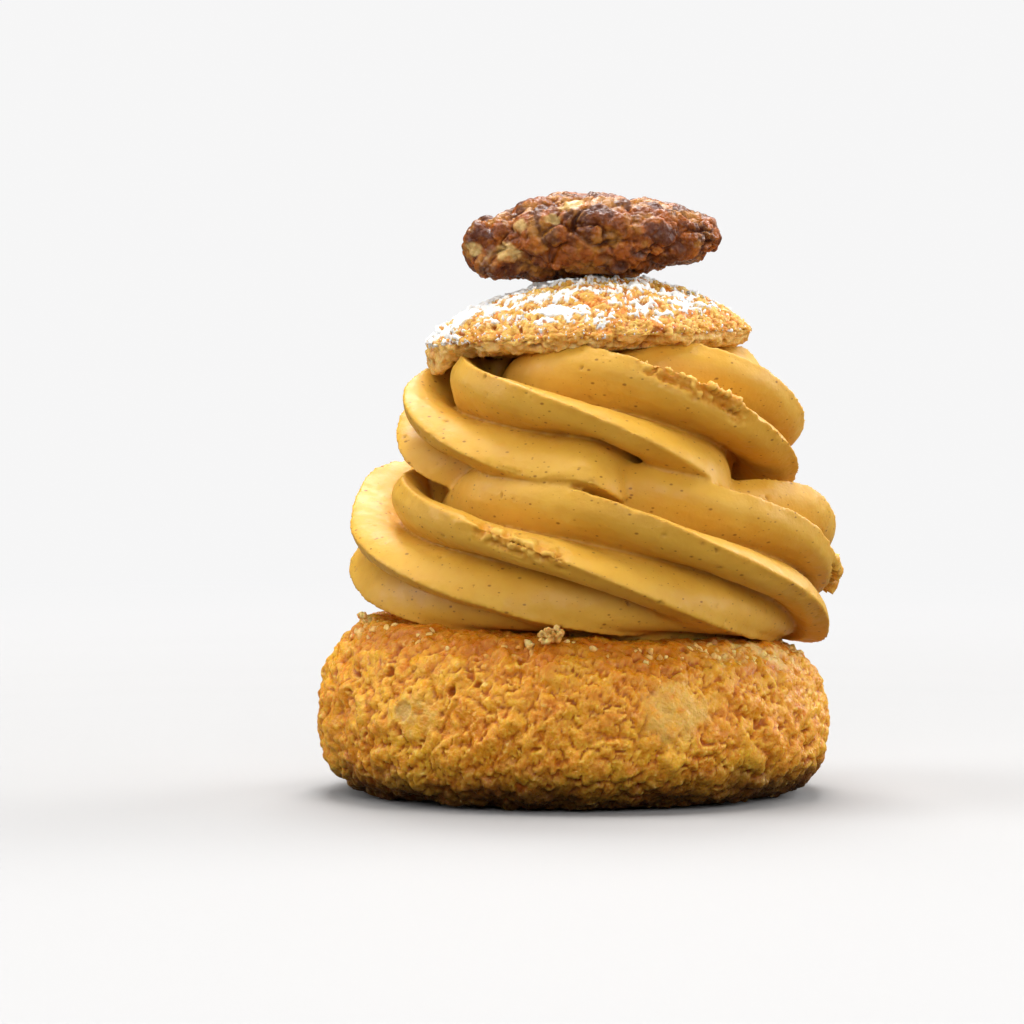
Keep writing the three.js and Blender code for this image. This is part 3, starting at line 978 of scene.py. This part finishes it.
def icing_sugar(moved, normals, top, cover, faces):
    """The sugar: lumpy islands where cover is high, and loose grains around."""
    rng = np.random.default_rng(17)
    powder, _, _ = cells(warped(moved, 0.1, 0.4, 381), 0.42, 382, 0.5, 0.9)
    coat = 0.22 * (cover - COAT_FROM) + 0.6 * (powder - 0.16) + 0.1 * fbm(moved, 0.9, 391, 1)
    upward = normals * 0.5 + (0, 0, 0.5)
    outer = moved + upward * np.clip(coat, 0.03, 0.45)[:, None]
    inner = moved - upward * 0.12
    quads = np.array([f for f in faces if len(f) == 4])
    wanted = (cover > COAT_FROM) & (top > 0.5)
    parts = [closed_coat(outer, inner, quads[wanted[quads].all(1)])]
    chance = np.where(top > 0.9, 0.06 + cover * (cover < 0.6), 0)
    chosen = rng.choice(len(moved), SUGAR_GRAINS, replace=False, p=chance / chance.sum())
    for i in chosen:
        points, sides = ball((0, 0, 0), rng.uniform(0.07, 0.15), 3, 5)
        points = points * rng.uniform(0.6, 1.4, points.shape)
        parts.append((points + moved[i] + upward[i] * 0.05, sides))
    piece = make_object("icing_sugar", *join_parts(parts))
    dress(piece, None, sugar_look())


def lid_look():
    look = Look(
        "lid_crust", Specular_IOR_Level=0.25, Subsurface_Weight=0.4,
        Subsurface_Scale=0.001, Subsurface_Radius=(1.0, 0.5, 0.12),
    )
    gold = look.noise(4.0, 3.0, low=0.38, high=0.62)
    crust = look.layers(
        look.mix(gold, srgb(200, 140, 44), srgb(214, 166, 76)),
        (look.noise(1.8, 2.0, low=0.5, high=0.64), 0.8, (204, 108, 16)),
        # Painted highlight: the raised grains are coloured paler.
        (look.mask("fine", 0.5, 0.2), 0.5, (244, 208, 116)),
        # Painted shade: deeper orange in the hollows, fine creases and pits.
        (look.mask("hollow", 0.5, 0.85), 0.75, (176, 90, 16)),
        (look.mask("fine", 0.55, 0.9), 0.65, (162, 80, 14)),
        ("pit", 0.7, (146, 70, 12)),
    )
    crumb = look.mix(look.noise(1.2, 2.0), srgb(238, 208, 136), srgb(216, 168, 88))
    # Painted shade in the crumb's holes.
    crumb = look.layers(crumb, ("holes", 0.8, (156, 84, 20)))
    color = look.mix(look.mask("top"), crumb, crust)
    dust = look.times(look.mask("dust"), look.noise(0.4, 2.0, low=0.4, high=0.6))
    color = look.layers(color, (dust, 0.5, (250, 240, 216)))
    look.color(color)
    look.roughness(0.9, 0.22, 0.6)
    look.bump(0.35, 0.1)
    return look.material


def sugar_look():
    look = Look(
        "icing_sugar", Roughness=0.8, Specular_IOR_Level=0.3, Subsurface_Weight=0.5,
        Subsurface_Scale=0.0006, Subsurface_Radius=(1.0, 0.9, 0.8),
    )
    clump = look.noise(0.8, 3.0, low=0.3, high=0.7)
    look.color(look.mix(clump, srgb(252, 250, 247), srgb(250, 242, 228)))
    look.bump(0.15, 0.06, 2.0)
    return look.material


# ---------------- nut

# The nut's outline from the side: place along it from 0 at its blunt left end
# to 1 at its tip, and the heights there as shares of its own box.
NUT_TOP = [
    (0, 0.4), (0.03, 0.6), (0.1, 0.7), (0.22, 0.85), (0.42, 1.0), (0.69, 0.92),
    (0.88, 0.78), (0.97, 0.66), (1, 0.5),
]
NUT_BOTTOM = [
    (0, 0.3), (0.03, 0.13), (0.09, 0.03), (0.3, 0.0), (0.55, 0.0), (0.79, 0.13),
    (0.94, 0.23), (1, 0.38),
]
NUT_ROWS, NUT_COLUMNS, NUT_VOXEL = 90, 120, 0.17
# How far the nut's smooth form stays inside its box, for the lumps on it.
NUT_INSET = (0.3, 0.4, 0.2)
# Lumps of hardened syrup on the nut: middle and radius.
NUT_LUMPS = [
    ((-11.6, -2.2, 69.4), 1.9), ((-10.5, -3.2, 65.7), 1.8), ((-10.6, 1.5, 70.2), 1.7),
    ((-11.8, 2.4, 67.4), 1.7), ((10.9, 2.6, 66.6), 1.4), ((-3.0, -6.0, 66.0), 1.5),
    ((5.2, -5.6, 66.4), 1.6), ((-6.6, 6.0, 70.0), 1.6), ((6.0, 6.4, 68.2), 1.7),
]

# Places where the syrup is thin and the nut shows: middle and radius.
NUT_BARE = [
    ((-9.6, -6.0, 67.2), 2.0), ((-12.0, -3.0, 67.8), 1.3), ((-7.4, -7.0, 70.6), 1.3),
    ((-0.6, -6.0, 73.6), 1.5), ((-2.4, -7.0, 71.6), 0.9), ((3.5, 6.0, 72.0), 2.0),
    ((-7.0, 6.5, 69.0), 1.6),
]


def nut_body():
    """The nut's smooth form: a blunt left end and a pointed right one."""
    place = 0.5 - 0.5 * np.cos(np.linspace(0.02, math.pi - 0.02, NUT_ROWS))[:, None]
    a = np.radians(even_turn(NUT_COLUMNS))[None, :]
    low, high = NUT_LOW + NUT_INSET, NUT_HIGH - NUT_INSET
    length, depth, tall = high - low
    upper, lower = (low[2] + tall * curve(place, rows) for rows in (NUT_TOP, NUT_BOTTOM))
    middle = (upper + lower) / 2
    plan = 0.5 * depth * np.minimum(1, (4 * place * (1 - place))) ** 0.55
    x = low[0] + length * place + 0 * a
    y = (low[1] + high[1]) / 2 + plan * np.cos(a)
    z = middle + (upper - lower) / 2 * np.sign(np.sin(a)) * np.abs(np.sin(a)) ** 0.9
    return skin(np.stack([x, y, z], -1))


def candied_nut():
    parts = [nut_body()] + [ball(middle, radius) for middle, radius in NUT_LUMPS]
    piece = make_object("candied_nut_crust", *join_parts(parts))
    with_modifier(piece, "REMESH", mode="VOXEL", voxel_size=NUT_VOXEL * MM)
    with_modifier(piece, "SMOOTH", factor=0.5, iterations=3)
    points = get_points(piece)
    bent = warped(points, 0.5, 1.4, 401)
    big, owner, _ = cells(warped(bent, 0.6, 2.4, 402), 3.1, 403, 0.55, 0.95)
    small, _, _ = cells(bent, 1.0, 404, 0.5, 0.9)
    crease = 1 - smooth(0.0, 0.12, np.abs(fbm(points * (0.7, 1, 1.5), 6.0, 405, 2)))
    crease *= smooth(-0.1, 0.3, fbm(points, 4.0, 409, 2))
    height = 0.48 * big + 0.36 * small + 0.1 * fbm(points, 0.5, 406, 2) - 1.05 - 0.6 * crease
    bare = np.full(len(points), -0.5)
    for middle, radius in NUT_BARE:
        away = np.linalg.norm((points - middle) * (0.7, 1, 1.3), axis=1)
        bare = np.maximum(bare, 1 - away / radius)
    bare = smooth(0.0, 0.45, bare + 0.45 * fbm(points, 1.4, 407, 3))
    set_points(piece, points + get_normals(piece) * height[:, None])
    # The hollow, fine and crease masks carry painted shade into the colour, and fine also
    # painted highlight on the raised lumps.
    set_masks(
        piece, hollow=hollows(piece, height, 12, 0.4), fine=hollows(piece, height, 3, 0.15),
        owner=owner, crease=crease, bare=bare,
    )
    dress(piece, "candied_nut", nut_look())


def nut_look():
    look = Look(
        "candied_nut", Specular_IOR_Level=0.22, Coat_Weight=0.12, Coat_Roughness=0.15,
        Subsurface_Weight=0.1, Subsurface_Scale=0.0008, Subsurface_Radius=(1.0, 0.4, 0.15),
    )
    color = look.layers(
        look.mix(look.mask("owner"), srgb(104, 49, 13), srgb(148, 76, 20)),
        (look.noise(3.4, 3.0, low=0.46, high=0.62), 0.8, (178, 122, 50)),
        (look.noise(2.4, 2.0, low=0.5, high=0.66), 0.5, (180, 94, 22)),
        (look.noise(2.8, 3.0, low=0.48, high=0.6), 0.85, (76, 34, 20)),
        # Painted highlight: the raised lumps are coloured paler.
        (look.mask("fine", 0.5, 0.15), 0.3, (204, 138, 60)),
        # Painted shade: darker in the hollows and creases.
        (look.mask("hollow", 0.45, 0.85), 0.65, (78, 34, 12)),
        ("crease", 0.6, (50, 22, 12)),
        ("bare", 0.6, (232, 200, 128)),
    )
    look.color(color)
    look.roughness(1.0, 0.13, 0.46)
    look.bump(0.35, 0.08)
    return look.material


# ---------------- crumbs

# Crumbs on the rim of the cut, and the share of them sent to its front right.
RIM_CRUMBS, RIGHT_SHARE = 260, 0.35
# Clusters of crumbs at the cream's foot: middle, how many and how spread.
CRUMB_CLUSTERS = [((-3.1, -27.2, 21.4), 30, 0.75), ((-25.8, -5.0, 21.8), 12, 0.6)]


def crumbs():
    """Loose crumbs of crust on the rim of the cut, and clusters at the cream's foot."""
    rng = np.random.default_rng(7)
    lumps = []
    for middle, count, spread in CRUMB_CLUSTERS:
        for _ in range(count):
            away = rng.uniform(-1, 1, 3) * spread * (1.7, 1.0, 1.1)
            lumps.append((away + middle, rng.uniform(0.2, 0.45)))
    for _ in range(RIM_CRUMBS):
        azimuth = rng.uniform(-180, 180)
        if rng.random() < RIGHT_SHARE:
            azimuth = rng.uniform(30, 95)
        radius = rng.uniform(25.2, 28.6)
        x, y, _ = around(0, radius, azimuth, 0.0)
        drop = max(0.0, radius - CUT_RADIUS) / (BELLY_RADIUS - CUT_RADIUS)
        z = BELLY_HEIGHT + (CUT_HEIGHT - BELLY_HEIGHT) * math.sqrt(1 - min(drop, 1) ** 2)
        z -= CUT_SLOPE * x * (z - BELLY_HEIGHT) / (CUT_HEIGHT - BELLY_HEIGHT)
        lumps.append(((x, y, z + 0.3), rng.uniform(0.25, 0.5)))
    points, faces = join_parts([ball(m, r, 8, 12) for m, r in lumps])
    piece = make_object("crumbs", points + 0.2 * drift(points, 0.6, 501), faces)
    look = Look(
        "crumbs", Roughness=0.6, Specular_IOR_Level=0.3,
        Subsurface_Weight=0.3, Subsurface_Scale=0.001,
    )
    look.color(look.mix(look.noise(1.5, 2.0), srgb(248, 210, 132), srgb(224, 164, 74)))
    look.bump(0.3, 0.08, 2.0)
    dress(piece, None, look.material)


# ---------------- stage

BACKGROUND = (0.925, 0.923, 0.925, 1)
# How strongly the background lights the puff; the camera sees it at full strength.
ROOM_LIGHT, FAR_GLOW = 0.04, 0.065
# What the floor gives back to the puff: little, like a dark tabletop.
FLOOR_BOUNCE = (0.12, 0.11, 0.1, 1)
FLOOR_DROP, FLOOR_COLUMNS = -0.02, 128
FLOOR_RADII = (20, 40, 60, 80, 100, 125, 150, 180, 220, 260, 300, 360, 430, 500, 800, 1500, 4000)
# Soft boxes around the puff: azimuth, elevation and power in watts.
SOFT_BOXES = {
    "left": (-90, 15, 1.35), "left_high": (-80, 50, 1.1), "right": (90, 15, 1.25),
    "front": (0, 20, 1.4), "front_right": (45, 20, 0.55), "top": (0, 88, 2.2),
    "back_right": (125, 30, 1.9), "back": (180, 55, 2.9),
}
SOFT_BOX_SIZE, SOFT_BOX_DISTANCE, SOFT_BOX_AIM = 0.3, 0.55, (0, 0, 0.04)
# What a white floor gives back of a soft box's power, and how bright the camera sees it.
LIGHT_SHARE, FLOOR_BRIGHTNESS = 0.08, 0.82


def lamp_place(azimuth, elevation):
    """Where a soft box hangs, in metres."""
    up = math.radians(elevation)
    level, rise = SOFT_BOX_DISTANCE * math.cos(up), SOFT_BOX_DISTANCE * math.sin(up)
    return around(0, level, azimuth, SOFT_BOX_AIM[2] + rise)


def floor_light(points):
    """How brightly the soft boxes light a white floor at each point."""
    total = np.zeros(len(points))
    for azimuth, elevation, power in SOFT_BOXES.values():
        lamp = lamp_place(azimuth, elevation)
        ray = points * MM - lamp
        away = np.linalg.norm(ray, axis=1)
        facing = np.maximum(0, ray @ (SOFT_BOX_AIM - lamp)) / away / SOFT_BOX_DISTANCE
        total += power * facing * lamp[2] / away ** 3 * LIGHT_SHARE
    return total


def floor():
    """A pale round floor that turns into plain background further out."""
    a = even_turn(FLOOR_COLUMNS)
    rings = np.stack([around(0, r, a, FLOOR_DROP) for r in FLOOR_RADII])
    points = np.vstack([rings.reshape(-1, 3), [[0, 0, FLOOR_DROP]]])
    faces = grid_faces(len(rings), len(a)) + cap_faces(0, len(a), len(points) - 1, True)
    piece = make_object("floor", points, [f[::-1] for f in faces], False)
    far = smooth(150, 500, np.hypot(points[:, 0], points[:, 1]))
    set_masks(piece, far=far, tint=FLOOR_BRIGHTNESS / (floor_light(points) + ROOM_LIGHT))
    look = Look("floor", Roughness=0.7, Specular_IOR_Level=0.1)
    seen = look.tree.nodes.new("ShaderNodeLightPath").outputs["Is Camera Ray"]
    pale = look.mix(look.mask("tint"), (0, 0, 0, 1), (1, 0.99, 0.985, 1))
    look.color(look.mix(seen, FLOOR_BOUNCE, pale))
    glow = look.tree.nodes.new("ShaderNodeEmission")
    glow.inputs["Color"].default_value = BACKGROUND
    look.link(look.math("MAXIMUM", seen, FAR_GLOW), glow.inputs["Strength"])
    blend = look.tree.nodes.new("ShaderNodeMixShader")
    look.link(look.mask("far"), blend.inputs["Fac"])
    look.link(look.shader.outputs["BSDF"], blend.inputs[1])
    look.link(glow.outputs["Emission"], blend.inputs[2])
    look.link(blend.outputs["Shader"], look.tree.nodes["Material Output"].inputs["Surface"])
    piece.data.materials.append(look.material)


def soft_box(name, azimuth, elevation, power):
    light = bpy.data.lights.new(name, "AREA")
    light.energy = power
    light.size = SOFT_BOX_SIZE
    lamp = add_object(name, light)
    lamp.location = lamp_place(azimuth, elevation)
    aim = Vector(SOFT_BOX_AIM) - lamp.location
    lamp.rotation_euler = aim.to_track_quat("-Z", "Y").to_euler()


def lights():
    """A white studio: soft light all round, stronger from the sides and back."""
    world = bpy.data.worlds.new("studio")
    bpy.context.scene.world = world
    world.use_nodes = True
    nodes, links = world.node_tree.nodes, world.node_tree.links
    background = nodes["Background"]
    background.inputs["Color"].default_value = BACKGROUND
    seen = nodes.new("ShaderNodeLightPath").outputs["Is Camera Ray"]
    strength = nodes.new("ShaderNodeMapRange")
    strength.inputs["To Min"].default_value = ROOM_LIGHT
    links.new(seen, strength.inputs["Value"])
    links.new(strength.outputs["Result"], background.inputs["Strength"])
    for name, (azimuth, elevation, power) in SOFT_BOXES.items():
        soft_box(name, azimuth, elevation, power)


CAMERA_X, CAMERA_DISTANCE, CAMERA_HEIGHT, AIM_HEIGHT = -7.75, 600, 57.6, 35
VIEW_WIDTH = 128


def camera():
    data = bpy.data.cameras.new("camera")
    view = add_object("camera", data)
    bpy.context.scene.camera = view
    view.location = Vector((CAMERA_X, -CAMERA_DISTANCE, CAMERA_HEIGHT)) * MM
    drop = CAMERA_HEIGHT - AIM_HEIGHT
    view.rotation_euler = (math.pi / 2 - math.atan(drop / CAMERA_DISTANCE), 0, 0)
    data.sensor_width = 36
    data.lens = data.sensor_width * math.hypot(CAMERA_DISTANCE, drop) / VIEW_WIDTH
    data.clip_start = 0.01


bpy.context.scene.view_settings.view_transform = "Standard"
camera()
lights()
floor()
base_crust()
piped_cream()
lid_and_sugar()
candied_nut()
crumbs()
